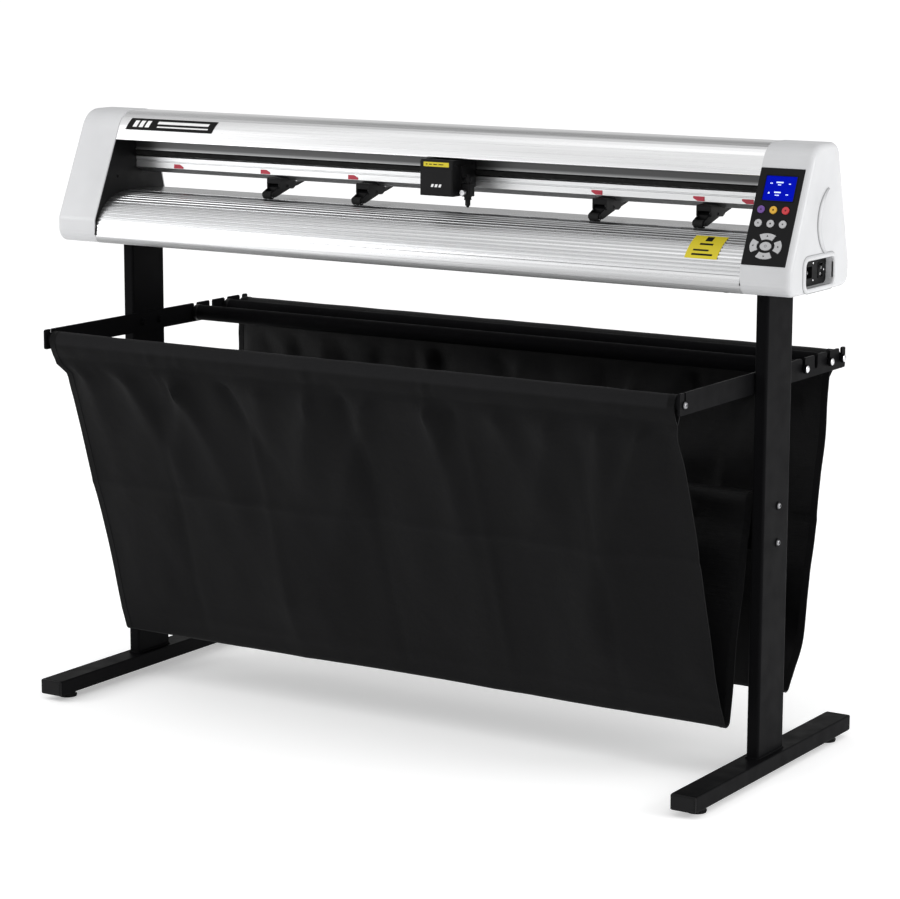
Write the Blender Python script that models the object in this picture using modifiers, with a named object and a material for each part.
"""Vinyl cutter: a cutting head on a floor stand, with a fabric media basket.

Metres, +Z up, +X to the right along the machine, the front faces -Y.
The origin is on the floor, below the middle of the columns.
"""
import math

import bmesh
import bpy
from mathutils import Matrix, Vector

# ---------------------------------------------------------------- driving dimensions
GAP = 0.0003                 # clearance between touching pieces

# stand
COLUMN_X = 0.680             # middle of a column from the machine's middle
COLUMN_SIZE = (0.0235, 0.098)
TUBE_WALL = 0.0015
FOOT_SIZE = (0.048, 0.604, 0.0285)
PAD_HEIGHT = 0.012
CROSSBEAM_Z = (0.400, 0.498)
ARM_Y = 0.318
ARM_Z = (0.6815, 0.7185)
ARM_THICK = 0.004
ROD_Z = 0.700
ROD_RADIUS = 0.0125
ROD_WALL = 0.0015
PLUG_LENGTH = 0.012
FRONT_ROD_Y = -0.300
NOTCH_Y = (0.145, 0.196, 0.247, 0.298)
NOTCH_WIDTH = 0.0124
SLOT_WIDTH = 0.0052          # of the slots for the front rod's screws
ROLLER_RADIUS = 0.015
AXLE_RADIUS = 0.0055
MOUNT_PLATE = (0.100, 0.110, 0.005)

# media basket
SLING_HALF = 0.655
SLING_THICK = 0.002
SLEEVE_RADIUS = 0.0145       # middle of the cloth around a rod
SLING_FRONT_LOW = (-0.0953, 0.0823)
SLING_REAR_LOW = (0.1287, 0.0958)
FOLD_RADII = (0.008, 0.012)   # of the cloth at the bottoms of its two pockets
SLEEVE_LEAVES = (200, 171)   # where the cloth leaves the rods, in degrees

# cutting head
HEAD_BOTTOM = 0.862
HEAD_TOP = 1.110
HEAD_FRONT = -0.144
HEAD_BACK = 0.088
SLOPE_START = (-0.143, 0.910)    # a point of the sloping front, at its lower end
SLOPE_RUN = 0.072
SLOPE_RISE = 0.160
CAP_OUT = 0.776
CAP_IN = 0.6837
CAP_WALL = 0.0025
CAP_EDGE = 0.010
SIDE_PLATE_X = (0.6840, 0.6870)
SPAN = 0.6835                # half length of what lies between the side plates
COVER_INSET = 0.0012
COVER_WALL = 0.002

# media path
PLATEN_TOP = 0.957
PLATEN_WALL = 0.0025
APRON_AXES = (0.0962, 0.0790)
APRON_CENTRE = (-0.045, 0.878)
FLUTE_DEPTH = 0.0010
FLUTES = 14
DRUM_Y = -0.045
DRUM_RADIUS = 0.0125
DRUM_Z = PLATEN_TOP + 0.0005 - DRUM_RADIUS
DRUM_JOURNAL = 0.004

# beam, belt and carriage
BEAM_FRONT = -0.013
BEAM_BACK = 0.034
BEAM_Z = (0.990, 1.083)
BELT_SLOT_Z = (1.020, 1.033)
BELT_Z = (1.0225, 1.0305)
BELT_THICK = 0.0015
PULLEY_X = 0.709
PULLEY_Y = 0.001
PULLEY_RADIUS = 0.0085
GUIDE_Y = -0.038
GUIDE_Z = 1.0695
GUIDE_RADIUS = 0.005
CARRIAGE_X = (0.0205, 0.0888)
CARRIAGE_Z = (0.989, 1.053)
TOOL_X = 0.1000
TOOL_Y = -0.0600
CLAMP_Z = (0.9885, 1.0105)
KNOB_Z = 0.9960
KNOB_Y = TOOL_Y - 0.0155

# pinch rollers
PINCH_X = (-0.347, -0.146, 0.352, 0.556)
PINCH_RADIUS = 0.0072
PINCH_Z = PLATEN_TOP + 0.0005 + PINCH_RADIUS + GAP
PINCH_PIVOT = (-0.004, 0.9795)
PINCH_HALF = 0.0145          # half width of a bracket
CHANNEL_HALF = 0.0120
CHEEK_HALF = 0.0117
WHEEL_ROOM = 0.0094          # half width of the slot that a wheel turns in
WHEEL_LENGTH = 0.0178
LEVER_HALF = 0.0055

# control panel, placed by x and by the distance s up the sloping front
PANEL_X = (0.6842, 0.7650)
PANEL_S = (0.0045, 0.1750)
LCD_CENTRE = (0.7255, 0.1398)
LCD_SIZE = (0.056, 0.043)
KEY_X = (0.7000, 0.7225, 0.7450)
KEY_S = (0.1015, 0.0775)
KEY_RADIUS = 0.0066
KEY_TOP = 0.0022
KEY_DEPTH = 0.0040
PAD_CENTRE = (0.7225, 0.0380)
PAD_OUTER = (0.0290, 0.0225)
PAD_INNER = (0.0165, 0.0120)
PAD_MIDDLE = (0.0105, 0.0075)
KEY_GAP = 0.0005

# sockets in the right cap
RECESS_Y = (-0.088, 0.022)
RECESS_Z = (0.8725, 0.9185)
RECESS_DEPTH = 0.0135
INLET_Y = -0.048
INLET_Z = 0.8955
INLET_OPENING = (0.0275, 0.0200)
ROCKER_Y = 0.000
ROCKER_SIZE = (0.0135, 0.0200)
ROCKER_ROOM = (0.0006, 0.0017)   # clearance of its hole, along y and z
ROCKER_DEPTH = 0.0050            # of its pivot, behind the recess's floor
ROCKER_TILT = math.radians(9)

SLOPE = math.atan2(SLOPE_RISE, SLOPE_RUN)

COLOURS = {
    # name: (colour, roughness, metallic)
    "white_plastic": ((0.86, 0.87, 0.88), 0.35, 0.0),
    "black_plastic": ((0.018, 0.018, 0.020), 0.45, 0.0),
    "silver_aluminium": ((0.74, 0.75, 0.77), 0.28, 1.0),
    "black_steel": ((0.014, 0.014, 0.016), 0.32, 0.0),
    "bright_steel": ((0.70, 0.70, 0.72), 0.22, 1.0),
    "grit_steel": ((0.42, 0.42, 0.44), 0.55, 1.0),
    "black_rubber": ((0.020, 0.020, 0.020), 0.75, 0.0),
    "black_nylon": ((0.020, 0.020, 0.023), 0.80, 0.0),
    "blue_screen": ((0.01, 0.02, 0.85), 0.20, 0.0),
    "purple_key": ((0.20, 0.09, 0.36), 0.35, 0.0),
    "yellow_key": ((0.85, 0.58, 0.06), 0.35, 0.0),
    "red_key": ((0.80, 0.06, 0.08), 0.35, 0.0),
    "grey_key": ((0.62, 0.62, 0.62), 0.40, 0.0),
    "green_board": ((0.03, 0.20, 0.09), 0.50, 0.0),
}


# ---------------------------------------------------------------- scene and materials
def clear_scene():
    for item in list(bpy.data.objects):
        bpy.data.objects.remove(item, do_unlink=True)


def new_collection(name):
    collection = bpy.data.collections.new(name)
    bpy.context.scene.collection.children.link(collection)
    return collection


def make_material(name):
    colour, roughness, metallic = COLOURS[name]
    material = bpy.data.materials.new(name)
    material.use_nodes = True
    shader = material.node_tree.nodes["Principled BSDF"]
    shader.inputs["Base Color"].default_value = (*colour, 1.0)
    shader.inputs["Roughness"].default_value = roughness
    shader.inputs["Metallic"].default_value = metallic
    material.diffuse_color = (*colour, 1.0)
    return material


clear_scene()
PARTS = new_collection("vinyl_cutter")
CUTTERS = new_collection("cutters")
MATERIALS = {name: make_material(name) for name in COLOURS}


def mesh_object(name, bm, material=None, collection=None):
    """Turn a bmesh into an object; without a material it is a cutter."""
    mesh = bpy.data.meshes.new(name)
    bm.normal_update()
    bm.to_mesh(mesh)
    bm.free()
    item = bpy.data.objects.new(name, mesh)
    (collection or PARTS).objects.link(item)
    if material:
        mesh.materials.append(MATERIALS[material])
    return item


def smooth(item, degrees=30):
    item.data.shade_smooth()
    item.data.set_sharp_from_angle(angle=math.radians(degrees))


def move_origin(item, point):
    """Put the object's origin on a point, leaving its shape where it is."""
    offset = Vector(point)
    item.data.transform(Matrix.Translation(-offset))
    item.location = offset


# ---------------------------------------------------------------- primitives
AXIS_TURN = {
    "X": Matrix.Rotation(math.pi / 2, 4, "Y"),
    "Y": Matrix.Rotation(-math.pi / 2, 4, "X"),
    "Z": Matrix.Identity(4),
}


def add_box(bm, low, high):
    size = Vector(high) - Vector(low)
    centre = (Vector(high) + Vector(low)) / 2
    place = Matrix.Translation(centre) @ Matrix.Diagonal((*size, 1.0))
    bmesh.ops.create_cube(bm, size=1.0, matrix=place)


def add_cylinder(bm, centre, radius, length, axis="X", sides=24, end_radius=None):
    place = Matrix.Translation(centre) @ AXIS_TURN[axis]
    bmesh.ops.create_cone(
        bm, cap_ends=True, segments=sides, radius1=radius,
        radius2=radius if end_radius is None else end_radius,
        depth=length, matrix=place)


def box(name, low, high, material, bevel=0.0, segments=2):
    bm = bmesh.new()
    add_box(bm, low, high)
    item = mesh_object(name, bm, material)
    if bevel:
        add_bevel(item, bevel, segments)
    return item


def cylinder(name, centre, radius, length, axis, material, sides=24):
    bm = bmesh.new()
    add_cylinder(bm, centre, radius, length, axis, sides)
    item = mesh_object(name, bm, material)
    smooth(item)
    return item


def box_cutter(low, high):
    bm = bmesh.new()
    add_box(bm, low, high)
    return mesh_object("cut_box", bm)


def cylinder_cutter(centre, radius, length, axis, sides=24):
    bm = bmesh.new()
    add_cylinder(bm, centre, radius, length, axis, sides)
    return mesh_object("cut_cylinder", bm)


def add_bevel(item, width, segments=2, angle=40):
    bevel = item.modifiers.new("round_edges", "BEVEL")
    bevel.width = width
    bevel.segments = segments
    bevel.limit_method = "ANGLE"
    bevel.angle_limit = math.radians(angle)


def combine(item, tools, operation):
    """Boolean each tool with the item; the tools go in the cutters' collection."""
    for tool in tools:
        for collection in list(tool.users_collection):
            collection.objects.unlink(tool)
        CUTTERS.objects.link(tool)
        tool.hide_render = True
        tool.display_type = "WIRE"
        step = item.modifiers.new(operation.lower(), "BOOLEAN")
        step.operation = operation
        step.solver = "EXACT"
        step.object = tool
    return item


def cut(item, *tools):
    return combine(item, tools, "DIFFERENCE")


def join(item, *tools):
    return combine(item, tools, "UNION")


def bake(item):
    """Replace an object by the mesh that its modifiers or its curve make."""
    graph = bpy.context.evaluated_depsgraph_get()
    mesh = bpy.data.meshes.new_from_object(item.evaluated_get(graph))
    bm = bmesh.new()
    bm.from_mesh(mesh)
    bmesh.ops.remove_doubles(bm, verts=bm.verts, dist=0.00001)
    bmesh.ops.recalc_face_normals(bm, faces=bm.faces)
    bm.to_mesh(mesh)
    bm.free()
    name = item.name
    baked = bpy.data.objects.new(name + "_mesh", mesh)
    baked.matrix_world = item.matrix_world.copy()
    for collection in item.users_collection:
        collection.objects.link(baked)
    bpy.data.objects.remove(item, do_unlink=True)
    baked.name = name
    return baked


# ---------------------------------------------------------------- outlines
def rounded(corners, steps=5):
    """A closed or open chain of points with arcs at its corners.

    A corner is (a, b) or (a, b, radius); the first and last stay sharp if they
    have no radius.
    """
    count = len(corners)
    points = []
    for index, corner in enumerate(corners):
        here = Vector(corner[:2])
        radius = corner[2] if len(corner) > 2 else 0.0
        if not radius:
            points.append(tuple(here))
            continue
        back = (Vector(corners[index - 1][:2]) - here).normalized()
        ahead = (Vector(corners[(index + 1) % count][:2]) - here).normalized()
        half = back.angle(ahead) / 2
        centre = here + (back + ahead).normalized() * radius / math.sin(half)
        first = here + back * radius / math.tan(half)
        start = (first - centre).to_3d()
        last = (here + ahead * radius / math.tan(half) - centre).to_3d()
        turn = start.angle(last)
        if start.cross(last).z < 0:
            turn = -turn
        for step in range(steps + 1):
            spun = Matrix.Rotation(turn * step / steps, 3, "Z") @ start
            points.append(tuple(centre + spun.to_2d()))
    return points


def arc(centre, radius, first, last, steps):
    """Points on an arc, with its angles in degrees."""
    points = []
    for step in range(steps + 1):
        angle = math.radians(first + (last - first) * step / steps)
        points.append((centre[0] + radius * math.cos(angle),
                       centre[1] + radius * math.sin(angle)))
    return points


def circle(centre, radius, steps):
    return arc(centre, radius, 0, 360 - 360 / steps, steps - 1)


def offset(points, distance):
    """The chain moved sideways, to its left when the distance is positive."""
    moved = []
    last = len(points) - 1
    for index, point in enumerate(points):
        here = Vector(point)
        before = Vector(points[max(index - 1, 0)])
        after = Vector(points[min(index + 1, last)])
        into = (here - before).normalized() if index else (after - here).normalized()
        out = (after - here).normalized() if index < last else into
        normal = Vector((-into.y - out.y, into.x + out.x)).normalized()
        stretch = normal.dot(Vector((-into.y, into.x)))
        moved.append(tuple(here + normal * distance / max(stretch, 0.4)))
    return moved


def strip(points, thickness):
    """The closed outline of a sheet whose one face follows the points."""
    return list(points) + offset(points, thickness)[::-1]


def extrusion(name, outlines, low, high, material=None, plane="YZ"):
    """A flat outline, or several for holes, extruded between two places."""
    curve = bpy.data.curves.new(name, "CURVE")
    curve.dimensions = "2D"
    curve.fill_mode = "BOTH"
    curve.extrude = (high - low) / 2
    for outline in outlines:
        spline = curve.splines.new("POLY")
        spline.points.add(len(outline) - 1)
        for point, place in zip(spline.points, outline):
            point.co = (place[0], place[1], 0.0, 1.0)
        spline.use_cyclic_u = True
    item = bpy.data.objects.new(name, curve)
    PARTS.objects.link(item)
    middle = (high + low) / 2
    if plane == "YZ":
        item.rotation_euler = (math.pi / 2, 0.0, math.pi / 2)
        item.location = (middle, 0.0, 0.0)
    elif plane == "XZ":
        item.rotation_euler = (math.pi / 2, 0.0, 0.0)
        item.location = (0.0, middle, 0.0)
    else:
        item.location = (0.0, 0.0, middle)
    bpy.context.view_layer.update()
    item = bake(item)
    item.data.transform(item.matrix_world)
    item.matrix_world = Matrix.Identity(4)
    if material:
        item.data.materials.clear()
        item.data.materials.append(MATERIALS[material])
    smooth(item)
    return item


def rectangle(low, high, radius=0.0, steps=4):
    corners = [(low[0], low[1]), (high[0], low[1]), (high[0], high[1]), (low[0], high[1])]
    if not radius:
        return corners
    return rounded([(*corner, radius) for corner in corners], steps)


# ---------------------------------------------------------------- stand
def side_name(side):
    return "left" if side < 0 else "right"


def make_leg(side):
    """A welded leg: hollow foot bar, hollow column and the plate under the head."""
    x = side * COLUMN_X
    half_x = FOOT_SIZE[0] / 2
    half_y = FOOT_SIZE[1] / 2
    foot_top = PAD_HEIGHT + FOOT_SIZE[2]
    low = (x - half_x, -half_y, PAD_HEIGHT)
    high = (x + half_x, half_y, foot_top)
    leg = box(side_name(side) + "_leg", low, high, "black_steel", 0.002)
    wall = Vector((0.002, 0.002, 0.002))
    hollow = box_cutter(Vector(low) + wall, Vector(high) - wall)
    access = box_cutter((x - 0.008, -0.040, 0.0), (x + 0.008, 0.040, foot_top + 0.005))
    cut(leg, hollow, access)

    half_x = COLUMN_SIZE[0] / 2
    half_y = COLUMN_SIZE[1] / 2
    top = HEAD_BOTTOM - 2 * GAP
    outer = rectangle((x - half_x, -half_y), (x + half_x, half_y), 0.004, 3)
    inner = rectangle((x - half_x + TUBE_WALL, -half_y + TUBE_WALL),
                      (x + half_x - TUBE_WALL, half_y - TUBE_WALL), 0.0025, 2)
    join(leg, extrusion("add_column", [outer, inner], foot_top - 0.001, top - 0.002,
                        None, "XY"))
    centre_x = side * (COLUMN_X - 0.030)
    half_plate = MOUNT_PLATE[0] / 2
    join(leg, box_cutter((centre_x - half_plate, -MOUNT_PLATE[1] / 2, top - MOUNT_PLATE[2]),
                         (centre_x + half_plate, MOUNT_PLATE[1] / 2, top)))
    for y in (-0.042, 0.042):
        place = (side * (COLUMN_X - 0.055), y, top)
        cut(leg, cylinder_cutter(place, 0.0035, 0.04, "Z", 12))
    return leg


def make_levelling_foot(number, x, y):
    """A pad on a short threaded stem."""
    bm = bmesh.new()
    add_cylinder(bm, (x, y, 0.0035), 0.017, 0.007, "Z", 20, 0.014)
    foot = mesh_object("levelling_foot_%d" % number, bm, "black_rubber")
    length = PAD_HEIGHT - 0.006 - GAP
    join(foot, cylinder_cutter((x, y, 0.006 + length / 2), 0.005, length, "Z", 12))
    smooth(foot)
    return foot


def make_levelling_feet():
    number = 0
    for x in (-COLUMN_X, COLUMN_X):
        for y in (-0.255, 0.255):
            number += 1
            make_levelling_foot(number, x, y)


def make_crossbeam():
    half = COLUMN_X - COLUMN_SIZE[0] / 2 - GAP
    low, high = CROSSBEAM_Z
    half_y = COLUMN_SIZE[0] / 2
    outer = rectangle((-half_y, low), (half_y, high), 0.004, 3)
    inner = rectangle((-half_y + TUBE_WALL, low + TUBE_WALL),
                      (half_y - TUBE_WALL, high - TUBE_WALL), 0.0025, 2)
    return extrusion("crossbeam", [outer, inner], -half, half, "black_steel")


def arm_outline():
    low, high = ARM_Z
    outline = [(-ARM_Y, low, 0.004), (ARM_Y, low, 0.004), (ARM_Y, high, 0.003)]
    half = NOTCH_WIDTH / 2
    floor = ROD_Z - half
    for y in reversed(NOTCH_Y):
        outline += [(y + half + 0.002, high), (y + half, high - 0.003)]
        outline += [(y + half, floor, half * 0.96), (y - half, floor, half * 0.96)]
        outline += [(y - half, high - 0.003), (y - half - 0.002, high)]
    half = SLOT_WIDTH / 2
    outline += [(FRONT_ROD_Y + half, high), (FRONT_ROD_Y + half, ROD_Z)]
    outline += [(FRONT_ROD_Y - half, ROD_Z), (FRONT_ROD_Y - half, high)]
    outline += [(-ARM_Y, high, 0.004)]
    return rounded(outline, 4)


def arm_inner_face():
    return COLUMN_X - COLUMN_SIZE[0] / 2 - GAP - ARM_THICK


def make_arm(side):
    inner = arm_inner_face()
    low, high = sorted((side * inner, side * (inner + ARM_THICK)))
    return extrusion(side_name(side) + "_arm", [arm_outline()], low, high, "black_steel")


def make_front_rod():
    """A plain tube between the arms, held by a screw at each end."""
    half = arm_inner_face() - GAP
    centre = (FRONT_ROD_Y, ROD_Z)
    rings = [circle(centre, ROD_RADIUS, 24), circle(centre, ROD_RADIUS - ROD_WALL, 24)]
    return extrusion("front_rod", rings, -half, half, "black_steel")


def make_notch_roller(name, y, radius):
    """A tube with vented end plugs, on axle stubs that lie in the arms' notches."""
    half = arm_inner_face() - 5 * GAP
    reach = arm_inner_face() + ARM_THICK
    centre = (y, ROD_Z)
    rings = [circle(centre, radius, 28), circle(centre, radius - ROD_WALL, 28)]
    roller = extrusion(name, rings, -half, half, "black_steel")
    stub = reach + 0.003 - half + PLUG_LENGTH
    for side in (-1, 1):
        plug_x = side * (half - PLUG_LENGTH / 2)
        stub_x = side * (reach + 0.003 - stub / 2)
        nut_x = side * (reach + 0.0045)
        join(roller, cylinder_cutter((plug_x, *centre), radius - ROD_WALL / 2,
                                     PLUG_LENGTH - 0.001, "X", 28))
        join(roller, cylinder_cutter((stub_x, *centre), AXLE_RADIUS, stub, "X", 16))
        join(roller, cylinder_cutter((nut_x, *centre), 0.0085, 0.005, "X", 6))
        vent_z = ROD_Z + (AXLE_RADIUS + radius) / 2 - 0.0005
        cut(roller, cylinder_cutter((plug_x, y, vent_z), 0.0018, 2 * PLUG_LENGTH, "X", 8))
    smooth(roller)
    move_origin(roller, (0.0, y, ROD_Z))
    return roller


def make_basket():
    """One cloth from the front rod, down, over the crossbeam, down, to the rear rod."""
    front = arc((FRONT_ROD_Y, ROD_Z), SLEEVE_RADIUS, -62, SLEEVE_LEAVES[0], 14)
    rear = arc((NOTCH_Y[3], ROD_Z), SLEEVE_RADIUS, SLEEVE_LEAVES[1], -62, 14)
    half = COLUMN_SIZE[0] / 2 + 0.0035
    ridge = CROSSBEAM_Z[1] + 0.0035
    middle = rounded([
        front[-1],
        (*SLING_FRONT_LOW, FOLD_RADII[0]),
        (-half, ridge, 0.006),
        (half, ridge, 0.006),
        (*SLING_REAR_LOW, FOLD_RADII[1]),
        (0.208, 0.235, 0.20),
        rear[0],
    ], 6)
    path = front[:-1] + middle[:-1] + rear
    outline = offset(path, SLING_THICK / 2) + offset(path, -SLING_THICK / 2)[::-1]
    return extrusion("media_basket", [outline], -SLING_HALF, SLING_HALF, "black_nylon")


def make_stand():
    for side in (-1, 1):
        make_leg(side)
        make_arm(side)
    make_levelling_feet()
    make_crossbeam()
    make_front_rod()
    make_notch_roller("front_media_roller", NOTCH_Y[0], ROLLER_RADIUS)
    make_notch_roller("rear_media_roller", NOTCH_Y[2], ROLLER_RADIUS)
    make_notch_roller("rear_rod", NOTCH_Y[3], ROD_RADIUS)
    make_basket()


# ---------------------------------------------------------------- head casing
def slope_point(s, depth=0.0):
    """A point (y, z) of the sloping front, s up it and depth inside it."""
    return (SLOPE_START[0] + s * math.cos(SLOPE) + depth * math.sin(SLOPE),
            SLOPE_START[1] + s * math.sin(SLOPE) - depth * math.cos(SLOPE))


def slope_at_height(z, inset=0.0):
    """The y of the sloping front, moved inwards by the inset, at a height."""
    y = SLOPE_START[0] + (z - SLOPE_START[1]) / math.tan(SLOPE)
    return y + inset / math.sin(SLOPE)


def head_outline(inset=0.0, steps=6):
    """The head's side profile, front bottom corner first, moved inwards."""
    bottom = HEAD_BOTTOM + inset
    top = HEAD_TOP - inset
    front = HEAD_FRONT + inset
    knee_z = SLOPE_START[1] + (HEAD_FRONT - SLOPE_START[0]) * math.tan(SLOPE)
    return rounded([
        (HEAD_BACK - inset, bottom, 0.022 - inset),
        (HEAD_BACK - inset, 0.905, 0.050),
        (0.036 - inset, top, 0.026 - inset),
        (slope_at_height(HEAD_TOP - inset, inset), top, 0.046 - inset),
        (front, knee_z + inset / 4, 0.020),
        (front, bottom, 0.024 - inset),
    ], steps)


def make_cap_shell(side):
    """A dished end cap: open towards the machine's middle, round outer edge."""
    outline = head_outline()
    bm = bmesh.new()
    ring = [bm.verts.new((side * CAP_IN, y, z)) for y, z in outline]
    face = bm.faces.new(ring)
    grown = bmesh.ops.extrude_face_region(bm, geom=[face])
    outer = [v for v in grown["geom"] if isinstance(v, bmesh.types.BMVert)]
    bmesh.ops.translate(bm, vec=(side * (CAP_OUT - CAP_IN), 0.0, 0.0), verts=outer)
    bm.faces.ensure_lookup_table()
    open_face = [f for f in bm.faces if all(abs(v.co.x - side * CAP_IN) < 1e-6 for v in f.verts)]
    bmesh.ops.delete(bm, geom=open_face, context="FACES")
    rim = [e for e in bm.edges if all(abs(v.co.x - side * CAP_OUT) < 1e-6 for v in e.verts)]
    bmesh.ops.bevel(bm, geom=rim, offset=CAP_EDGE, segments=5, profile=0.5, affect="EDGES",
                    clamp_overlap=True)
    bmesh.ops.recalc_face_normals(bm, faces=bm.faces)
    side_face = max(bm.faces, key=lambda f: f.calc_area())
    if side_face.normal.x * side < 0:
        bmesh.ops.reverse_faces(bm, faces=bm.faces)
    cap = mesh_object(side_name(side) + "_end_cap", bm, "white_plastic")
    smooth(cap, 35)
    shell = cap.modifiers.new("wall", "SOLIDIFY")
    shell.thickness = CAP_WALL
    shell.offset = -1.0
    shell.use_even_offset = True
    return bake(cap)


def panel_matrix(x, s, depth=0.0):
    """A frame on the sloping front: X along it, Y up it, Z out of it."""
    y, z = slope_point(s, depth)
    return Matrix.Translation((x, y, z)) @ Matrix.Rotation(SLOPE, 4, "X")


def panel_prism(name, outline, low, high, place, material=None):
    """An outline on the sloping front, extruded between two heights above it."""
    item = extrusion(name, [outline], low, high, material, "XY")
    item.matrix_world = place
    return item


def make_end_caps():
    left = make_cap_shell(-1)
    right = make_cap_shell(1)
    shift_x = PANEL_X[1] + GAP
    window = [(CAP_IN - 0.010, PANEL_S[0] - GAP), (shift_x, PANEL_S[0] - GAP),
              (shift_x, PANEL_S[1] + GAP), (CAP_IN - 0.010, PANEL_S[1] + GAP)]
    cut(right, panel_prism("cut_window", window, -0.008, 0.008, panel_matrix(0.0, 0.0)))
    hole = rectangle((RECESS_Y[0], RECESS_Z[0]), (RECESS_Y[1], RECESS_Z[1]), 0.010, 4)
    lining = rectangle((RECESS_Y[0] - 0.002, RECESS_Z[0] - 0.002),
                       (RECESS_Y[1] + 0.002, RECESS_Z[1] + 0.002), 0.012, 4)
    join(right, extrusion("add_lining", [lining], CAP_OUT - RECESS_DEPTH, CAP_OUT - 0.0012))
    cut(right, extrusion("cut_recess", [hole], CAP_OUT - RECESS_DEPTH - 0.010, CAP_OUT + 0.010))
    for cap in (left, right):
        smooth(cap, 35)


def make_side_plate(side):
    """A black plate that closes a cap and carries the beam, drum, belt and motors."""
    low, high = sorted((side * SIDE_PLATE_X[0], side * SIDE_PLATE_X[1]))
    plate = extrusion(side_name(side) + "_side_plate", [head_outline(CAP_WALL + 2 * GAP, 4)],
                      low, high, "black_plastic")
    x = side * SIDE_PLATE_X[0]
    cut(plate, box_cutter((x - 0.01, -0.014, 1.018), (x + 0.01, 0.016, 1.035)))
    cut(plate, cylinder_cutter((x, DRUM_Y, DRUM_Z), DRUM_JOURNAL + 0.0005, 0.02, "X", 20))
    if side < 0:
        far = -SIDE_PLATE_X[1] + 0.001
        join(plate, box_cutter((-PULLEY_X - 0.014, -0.013, 1.0105), (far, 0.015, 1.0145)))
        join(plate, cylinder_cutter((-PULLEY_X, PULLEY_Y, 1.0225), 0.003, 0.018, "Z", 12))
    return plate


def make_top_cover():
    """A curved sheet over the beam, from above the aperture to the back."""
    inset = COVER_INSET
    start_z = 1.0560
    front = slope_at_height(start_z, inset)
    path = rounded([
        (front + 0.007, start_z - 0.0012),
        (front, start_z, 0.0015),
        (slope_at_height(HEAD_TOP - inset, inset), HEAD_TOP - inset, 0.046 - inset),
        (0.036 - inset, HEAD_TOP - inset, 0.026 - inset),
        (0.0625 - inset, 1.004),
    ], 8)
    return extrusion("top_cover", [strip(path, -COVER_WALL)], -SPAN, SPAN, "silver_aluminium")


def make_bottom_tray():
    """The chassis tray under the platen."""
    floor = HEAD_BOTTOM
    path = rounded([
        (-0.112, floor + 0.040),
        (-0.112, floor, 0.004),
        (HEAD_BACK - 0.004, floor, 0.018),
        (HEAD_BACK - 0.004, 0.925),
    ], 4)
    return extrusion("bottom_tray", [strip(path, 0.002)], -SPAN, SPAN, "silver_aluminium")


# ---------------------------------------------------------------- media path
def apron_path(fluted):
    """The apron's outer face, from its lip up to the flat top."""
    half_y, half_z = APRON_AXES
    lip_centre = (APRON_CENTRE[0] - half_y + 0.0140, APRON_CENTRE[1] - 0.001)
    points = [(-0.118, 0.8623)] + arc(lip_centre, 0.0142, -105, -175, 6)
    first, last = math.radians(168), math.radians(97)
    profile = ((0.00, 0.0), (0.12, 1.0), (0.62, 1.0), (0.78, 0.0)) if fluted else ((0.0, 0.0),)
    for index in range(FLUTES):
        for part, rise in profile:
            angle = first + (last - first) * (index + part) / FLUTES
            swell = 1.0 + rise * FLUTE_DEPTH / half_z
            points.append((APRON_CENTRE[0] + half_y * swell * math.cos(angle),
                           APRON_CENTRE[1] + half_z * swell * math.sin(angle) - FLUTE_DEPTH))
    return points


def make_platen():
    """One extrusion: fluted apron, drum trough, flat rear table and rear fall."""
    half = 0.0088
    inside = DRUM_RADIUS + 0.0016
    back = rounded([
        (DRUM_Y + half, PLATEN_TOP),
        (0.060, PLATEN_TOP, 0.022),
        (0.080, 0.929),
    ], 6)
    upper = apron_path(True) + [(DRUM_Y - half, PLATEN_TOP)]
    upper += arc((DRUM_Y, DRUM_Z), inside, 128, 412, 16) + back
    lower = [point for point in offset(apron_path(False), -PLATEN_WALL)
             if point[0] < DRUM_Y - inside - PLATEN_WALL]
    lower += arc((DRUM_Y, DRUM_Z), inside + PLATEN_WALL, 165, 375, 12)
    lower += [(DRUM_Y + inside + PLATEN_WALL, PLATEN_TOP - PLATEN_WALL)]
    lower += offset(back, -PLATEN_WALL)[1:]
    return extrusion("platen", [upper + lower[::-1]], -SPAN, SPAN, "silver_aluminium")


def make_grit_drum():
    """A long roller with grit bands between plain bands, on two journals."""
    bm = bmesh.new()
    add_cylinder(bm, (0.0, DRUM_Y, DRUM_Z), DRUM_RADIUS, 2 * (SPAN - 0.001), "X", 32)
    drum = mesh_object("grit_drum", bm, "grit_steel")
    low, high = -SIDE_PLATE_X[1] - 0.006, 0.704
    join(drum, cylinder_cutter(((low + high) / 2, DRUM_Y, DRUM_Z), DRUM_JOURNAL,
                               high - low, "X", 16))
    smooth(drum)
    return drum


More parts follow.
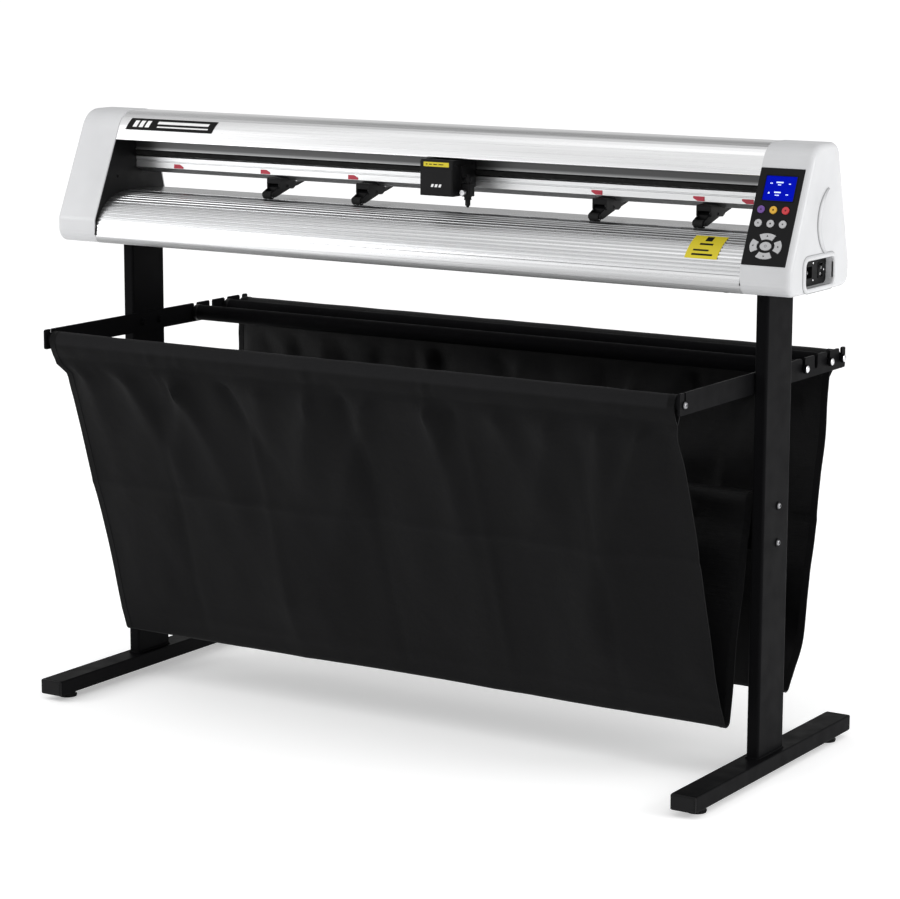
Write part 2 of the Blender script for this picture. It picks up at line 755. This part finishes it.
def make_pinch_assembly(number, x):
    """A bracket under the beam, a rocker arm with a lever, and a wheel."""
    name = "pinch_%s_%d"
    outline = rounded([
        (-0.030, 0.9765, 0.002),
        (0.014, 0.9735, 0.002),
        (0.022, 0.9780),
        (0.022, 0.9896),
        (0.0056, 0.9896),
        (-0.0066, 0.9960),
        (-0.030, 0.9960, 0.003),
    ], 2)
    bracket = extrusion(name % ("bracket", number), [outline], x - PINCH_HALF, x + PINCH_HALF,
                        "black_plastic")
    channel = [(-0.050, 0.960), (0.040, 0.960), (0.040, 0.9858), (-0.050, 0.9858)]
    cut(bracket, extrusion("cut_channel", [channel], x - CHANNEL_HALF, x + CHANNEL_HALF))
    pin_place = (x, *PINCH_PIVOT)
    cut(bracket, cylinder_cutter(pin_place, 0.0025, 0.06, "X", 12))
    move_origin(bracket, (x, 0.0, BEAM_Z[0]))

    wheel_place = (x, DRUM_Y, PINCH_Z)
    cheek = rounded([
        (DRUM_Y - 0.0045, PINCH_Z - 0.0030, 0.0028),
        (DRUM_Y + 0.006, PINCH_Z - 0.0042, 0.004),
        (0.006, 0.9735, 0.004),
        (0.006, 0.9845, 0.002),
        (-0.018, 0.9838, 0.004),
        (DRUM_Y - 0.0045, PINCH_Z + 0.0045, 0.0035),
    ], 3)
    arm = extrusion(name % ("arm", number), [cheek], x - CHEEK_HALF, x + CHEEK_HALF,
                    "black_plastic")
    cut(arm, box_cutter((x - WHEEL_ROOM, DRUM_Y - 0.020, 0.950),
                        (x + WHEEL_ROOM, -0.0300, 0.999)))
    cut(arm, cylinder_cutter(wheel_place, 0.0024, 0.06, "X", 12))
    lever = rounded([
        (0.0050, 0.9745),
        (0.0400, 0.9770, 0.02),
        (0.0640, 0.9830, 0.001),
        (0.0650, 0.9850, 0.001),
        (0.0380, 0.9828, 0.02),
        (0.0050, 0.9835),
    ], 3)
    join(arm, extrusion("add_lever", [lever], x - LEVER_HALF, x + LEVER_HALF))
    join(arm, cylinder_cutter(pin_place, 0.0020, 2 * PINCH_HALF - 0.001, "X", 12))
    move_origin(arm, pin_place)

    bm = bmesh.new()
    add_cylinder(bm, wheel_place, PINCH_RADIUS, WHEEL_LENGTH, "X", 20)
    wheel = mesh_object(name % ("wheel", number), bm, "black_rubber")
    join(wheel, cylinder_cutter(wheel_place, 0.0018, 2 * CHEEK_HALF - 0.0006, "X", 12))
    smooth(wheel)
    move_origin(wheel, wheel_place)


# ---------------------------------------------------------------- beam and carriage
def make_beam():
    low, high = BEAM_Z
    slot_low, slot_high = BELT_SLOT_Z
    outer = [
        (BEAM_FRONT, 1.000), (0.006, low), (BEAM_BACK, low), (BEAM_BACK, high),
        (BEAM_FRONT, high), (BEAM_FRONT, slot_high), (0.0145, slot_high),
        (0.0145, slot_low), (BEAM_FRONT, slot_low),
        (BEAM_FRONT, 1.0135), (BEAM_FRONT + 0.0015, 1.0125),
        (BEAM_FRONT + 0.0015, 1.0115), (BEAM_FRONT, 1.0105),
    ]
    wall = 0.0025
    web = 0.0145
    rear = rectangle((web + wall, low + wall), (BEAM_BACK - wall, high - wall))
    upper = rectangle((BEAM_FRONT + wall, slot_high + wall), (web, high - wall))
    lower = [(BEAM_FRONT + 0.0040, 1.0010), (0.0070, low + wall), (web, low + wall),
             (web, slot_low - wall), (BEAM_FRONT + 0.0040, slot_low - wall)]
    return extrusion("beam", [outer, rear, upper, lower], -SPAN, SPAN, "silver_aluminium")


def make_drive_belt():
    """The toothed belt's loop around both pulleys."""
    reach = PULLEY_RADIUS + 0.0004

    def loop(radius):
        right = arc((PULLEY_X, PULLEY_Y), radius, -90, 90, 10)
        left = arc((-PULLEY_X, PULLEY_Y), radius, 90, 270, 10)
        return right + left

    return extrusion("drive_belt", [loop(reach + BELT_THICK), loop(reach)],
                     BELT_Z[0], BELT_Z[1], "black_rubber", "XY")


def make_pulley(name, side):
    """A flanged belt pulley on a vertical axis."""
    centre = (side * PULLEY_X, PULLEY_Y)
    low, high = BELT_Z
    bm = bmesh.new()
    middle = (low + high) / 2
    add_cylinder(bm, (*centre, middle), PULLEY_RADIUS, high - low + 0.0030, "Z", 24)
    pulley = mesh_object(name, bm, "silver_aluminium")
    for z in (low - 0.0010, high + 0.0010):
        join(pulley, cylinder_cutter((*centre, z), PULLEY_RADIUS + 0.0030, 0.0012, "Z", 24))
    if side > 0:
        join(pulley, cylinder_cutter((*centre, 1.0150), 0.0025, 0.0170, "Z", 12))
    else:
        cut(pulley, cylinder_cutter((*centre, middle), 0.0034, 0.05, "Z", 16))
    smooth(pulley)
    return pulley


def make_guide_shaft():
    return cylinder("guide_shaft", (0.0, GUIDE_Y, GUIDE_Z), GUIDE_RADIUS, 2 * SPAN, "X",
                    "bright_steel", 20)


def make_carriage():
    """The carriage box, its guide block on the shaft and its belt tongue."""
    x0, x1 = CARRIAGE_X
    z0, z1 = CARRIAGE_Z
    side = rounded([
        (-0.0930, z0, 0.0015), (-0.0480, z0), (-0.0480, 1.0010), (-0.0150, 1.0010),
        (-0.0150, z1), (-0.0900, z1), (-0.0930, z1 - 0.0030),
    ], 3)
    carriage = extrusion("carriage", [side], x0, x1, "black_plastic")
    add_bevel(carriage, 0.0008, 1, 60)
    block = [(-0.0480, z1 - 0.002), (-0.0280, z1 - 0.002), (-0.0280, 1.0785), (-0.0480, 1.0785)]
    join(carriage, extrusion("add_block", [block], x0 + 0.006, x1 - 0.006))
    tongue = [(-0.0160, 1.0225), (-0.0097, 1.0225), (-0.0097, 1.0305), (-0.0160, 1.0305)]
    join(carriage, extrusion("add_tongue", [tongue], x0 + 0.015, x1 - 0.015))
    rail = [(-0.0700, 0.9960), (-0.0520, 0.9960), (-0.0520, 1.0430), (-0.0700, 1.0430)]
    join(carriage, extrusion("add_rail", [rail], x1 - 0.002, x1 + 0.0030))
    bore = GUIDE_RADIUS + 0.0004
    cut(carriage, cylinder_cutter((0.055, GUIDE_Y, GUIDE_Z), bore, 0.2, "X", 20))
    move_origin(carriage, ((x0 + x1) / 2, GUIDE_Y, GUIDE_Z))
    return carriage


def make_tool_clamp():
    """The up and down slide with the blade holder's barrel."""
    x = TOOL_X
    y = TOOL_Y
    low = CARRIAGE_X[1] + 0.0030 + GAP
    outline = rectangle((low, y - 0.0095), (x + 0.0090, y + 0.0095), 0.002, 2)
    clamp = extrusion("tool_clamp", [outline], *CLAMP_Z, "black_plastic", "XY")
    for z, radius, length in ((0.9940, 0.0048, 0.0440), (1.0185, 0.0070, 0.0060),
                              (0.9880, 0.0062, 0.0080)):
        join(clamp, cylinder_cutter((x, y, z), radius, length, "Z", 20))
    tip = bmesh.new()
    add_cylinder(tip, (x, y, 0.9710), 0.0018, 0.0050, "Z", 16, 0.0042)
    join(clamp, mesh_object("add_tip", tip))
    cut(clamp, cylinder_cutter((x, y - 0.0120, KNOB_Z), 0.0026, 0.0090, "Y", 12))
    smooth(clamp, 35)
    move_origin(clamp, (x, y, 1.0080))
    return clamp


def make_clamp_knob():
    """The thumb screw that grips the blade holder from the front."""
    x = TOOL_X
    bm = bmesh.new()
    add_cylinder(bm, (x, KNOB_Y, KNOB_Z), 0.0048, 0.0100, "Y", 18)
    knob = mesh_object("clamp_knob", bm, "bright_steel")
    join(knob, cylinder_cutter((x, KNOB_Y + 0.0053, KNOB_Z), 0.0021, 0.0040, "Y", 12))
    smooth(knob, 50)
    move_origin(knob, (x, KNOB_Y, KNOB_Z))
    return knob


# ---------------------------------------------------------------- motors and electronics
def make_motor(name, centre, axis, length, size=0.042):
    """A square stepper motor with a blind hole for the shaft."""
    half = size / 2
    along = Vector((length / 2, half, half)) if axis == "X" else Vector((half, half, length / 2))
    motor = box(name, Vector(centre) - along, Vector(centre) + along, "black_steel", 0.003, 2)
    step = Vector((-length / 2, 0, 0)) if axis == "X" else Vector((0, 0, length / 2))
    mouth = Vector(centre) + step
    radius = DRUM_JOURNAL + 0.0006 if axis == "X" else 0.0031
    return cut(motor, cylinder_cutter(mouth, radius, 0.040, axis, 20))


def make_motors():
    length = 0.036
    start = SIDE_PLATE_X[1] + GAP
    make_motor("feed_motor", (start + length / 2, DRUM_Y, DRUM_Z), "X", length)
    make_motor("carriage_motor", (PULLEY_X, PULLEY_Y, 1.0080 - length / 2), "Z", length, 0.0405)


def make_control_board():
    board = box("control_board", (0.400, -0.080, 0.8680), (0.580, 0.040, 0.8696), "green_board")
    chips = ((0.430, -0.060, 0.030, 0.030, 0.004), (0.500, -0.050, 0.040, 0.020, 0.012),
             (0.450, 0.000, 0.020, 0.030, 0.016), (0.530, 0.005, 0.030, 0.022, 0.010))
    for x, y, width, depth, height in chips:
        join(board, box_cutter((x, y, 0.8690), (x + width, y + depth, 0.8696 + height)))
    return board


# ---------------------------------------------------------------- control panel
def make_control_panel():
    """The black keypad plate, with a window for the display and holes for the keys."""
    low = (PANEL_X[0], PANEL_S[0])
    high = (PANEL_X[1], PANEL_S[1])
    plate = extrusion("control_panel", [rectangle(low, high, 0.0015, 2)], -0.0020, 0.0006,
                      "black_plastic", "XY")
    plate.matrix_world = panel_matrix(0.0, 0.0)
    half = Vector(LCD_SIZE) / 2 + Vector((GAP, GAP))
    centre = Vector(LCD_CENTRE)
    cut(plate, panel_prism("cut_display", rectangle(centre - half, centre + half), -0.01, 0.01,
                           panel_matrix(0.0, 0.0)))
    for s in KEY_S:
        for x in KEY_X:
            hole = circle((x, s), KEY_RADIUS + KEY_GAP, 24)
            cut(plate, panel_prism("cut_key", hole, -0.01, 0.01, panel_matrix(0.0, 0.0)))
    for angle in (0, 90, 180, 270):
        hole = arrow_outline(angle, KEY_GAP)
        cut(plate, panel_prism("cut_arrow", hole, -0.01, 0.01, panel_matrix(*PAD_CENTRE)))
    hole = ellipse(PAD_MIDDLE, KEY_GAP)
    cut(plate, panel_prism("cut_middle", hole, -0.01, 0.01, panel_matrix(*PAD_CENTRE)))
    return plate


def ellipse(axes, grow=0.0, steps=20):
    points = []
    for step in range(steps):
        angle = 2 * math.pi * step / steps
        points.append(((axes[0] + grow) * math.cos(angle), (axes[1] + grow) * math.sin(angle)))
    return points


def arrow_outline(angle, grow=0.0, steps=6):
    """A quarter of an oval ring, around the given angle, as the arrow keys are."""
    spread = 31 + math.degrees(grow / PAD_OUTER[1])
    points = []
    for axes, sweep in ((PAD_OUTER, 1), (PAD_INNER, -1)):
        extra = grow * sweep
        wide = spread if sweep > 0 else spread + 3
        for step in range(steps + 1):
            turn = math.radians(angle + sweep * wide * (2 * step / steps - 1))
            points.append(((axes[0] + extra) * math.cos(turn), (axes[1] + extra) * math.sin(turn)))
    return points


def make_key(name, outline, x, s, material):
    key = extrusion(name, [outline], -KEY_DEPTH, KEY_TOP, material, "XY")
    add_bevel(key, 0.0007, 2, 60)
    key.matrix_world = panel_matrix(x, s)
    return key


def make_keys():
    rows = (("purple_key", "yellow_key", "red_key"), ("grey_key", "grey_key", "grey_key"))
    names = (("menu_key", "offline_key", "reset_key"), ("speed_key", "force_key", "test_key"))
    round_key = circle((0.0, 0.0), KEY_RADIUS, 24)
    for s, colours, labels in zip(KEY_S, rows, names):
        for x, colour, label in zip(KEY_X, colours, labels):
            make_key(label, round_key, x, s, colour)
    for angle, label in ((0, "right"), (90, "up"), (180, "left"), (270, "down")):
        make_key(label + "_arrow_key", arrow_outline(angle), *PAD_CENTRE, "grey_key")
    make_key("enter_key", ellipse(PAD_MIDDLE), *PAD_CENTRE, "grey_key")


def make_lcd():
    half = Vector(LCD_SIZE) / 2
    outline = rectangle(-half, half, 0.001, 2)
    lcd = extrusion("lcd_screen", [outline], -0.0040, 0.0002, "blue_screen", "XY")
    lcd.matrix_world = panel_matrix(*LCD_CENTRE)
    return lcd


def make_power_inlet():
    """The socket module behind the recess: plate, mains inlet, data port."""
    x1 = CAP_OUT - RECESS_DEPTH - GAP
    x0 = x1 - 0.0030
    outline = rectangle((RECESS_Y[0] - 0.002, RECESS_Z[0] - 0.002),
                        (RECESS_Y[1] + 0.002, RECESS_Z[1] + 0.002), 0.004, 2)
    inlet = extrusion("power_inlet", [outline], x0, x1, "black_plastic")
    half_y, half_z = INLET_OPENING[0] / 2, INLET_OPENING[1] / 2
    join(inlet, box_cutter((x0 - 0.0200, INLET_Y - half_y - 0.003, INLET_Z - half_z - 0.003),
                           (x0 + 0.001, INLET_Y + half_y + 0.003, INLET_Z + half_z + 0.003)))
    cut(inlet, box_cutter((x0 - 0.0170, INLET_Y - half_y, INLET_Z - half_z),
                          (x1 + 0.01, INLET_Y + half_y, INLET_Z + half_z)))
    for dy, dz in ((-0.007, -0.002), (0.007, -0.002), (0.0, 0.0035)):
        y, z = INLET_Y + dy, INLET_Z + dz
        join(inlet, box_cutter((x0 - 0.0180, y - 0.001, z - 0.002),
                               (x1 - 0.004, y + 0.001, z + 0.002)))
    width = ROCKER_SIZE[0] / 2 + ROCKER_ROOM[0]
    height = ROCKER_SIZE[1] / 2 + ROCKER_ROOM[1]
    cut(inlet, box_cutter((x0 - 0.01, ROCKER_Y - width, INLET_Z - height),
                          (x1 + 0.01, ROCKER_Y + width, INLET_Z + height)))
    return inlet


def make_rocker():
    """The rocker switch: a rounded back on its pivot, two flat faces at the front."""
    pivot = Vector((CAP_OUT - RECESS_DEPTH - ROCKER_DEPTH, INLET_Z))
    reach = ROCKER_SIZE[1] / 2
    edge = reach * math.cos(ROCKER_TILT)
    shape = [(0.0058, edge)]
    shape += arc((0.0, 0.0), reach * 0.92, 130, 230, 8)
    shape += [(0.0058, -edge), (0.0050, 0.0)]
    turn = Matrix.Rotation(-ROCKER_TILT, 2)
    outline = [tuple(pivot + turn @ Vector(point)) for point in shape]
    half = ROCKER_SIZE[0] / 2
    switch = extrusion("rocker_switch", [outline], ROCKER_Y - half, ROCKER_Y + half,
                       "black_plastic", "XZ")
    move_origin(switch, (pivot.x, ROCKER_Y, pivot.y))
    return switch


def make_head():
    make_end_caps()
    for side in (-1, 1):
        make_side_plate(side)
    make_top_cover()
    make_bottom_tray()
    make_platen()
    make_grit_drum()
    for number, x in enumerate(PINCH_X, 1):
        make_pinch_assembly(number, x)
    make_beam()
    make_drive_belt()
    make_pulley("idler_pulley", -1)
    make_pulley("drive_pulley", 1)
    make_guide_shaft()
    make_carriage()
    make_tool_clamp()
    make_clamp_knob()
    make_motors()
    make_control_board()
    make_control_panel()
    make_lcd()
    make_keys()
    make_power_inlet()
    make_rocker()


make_stand()
make_head()
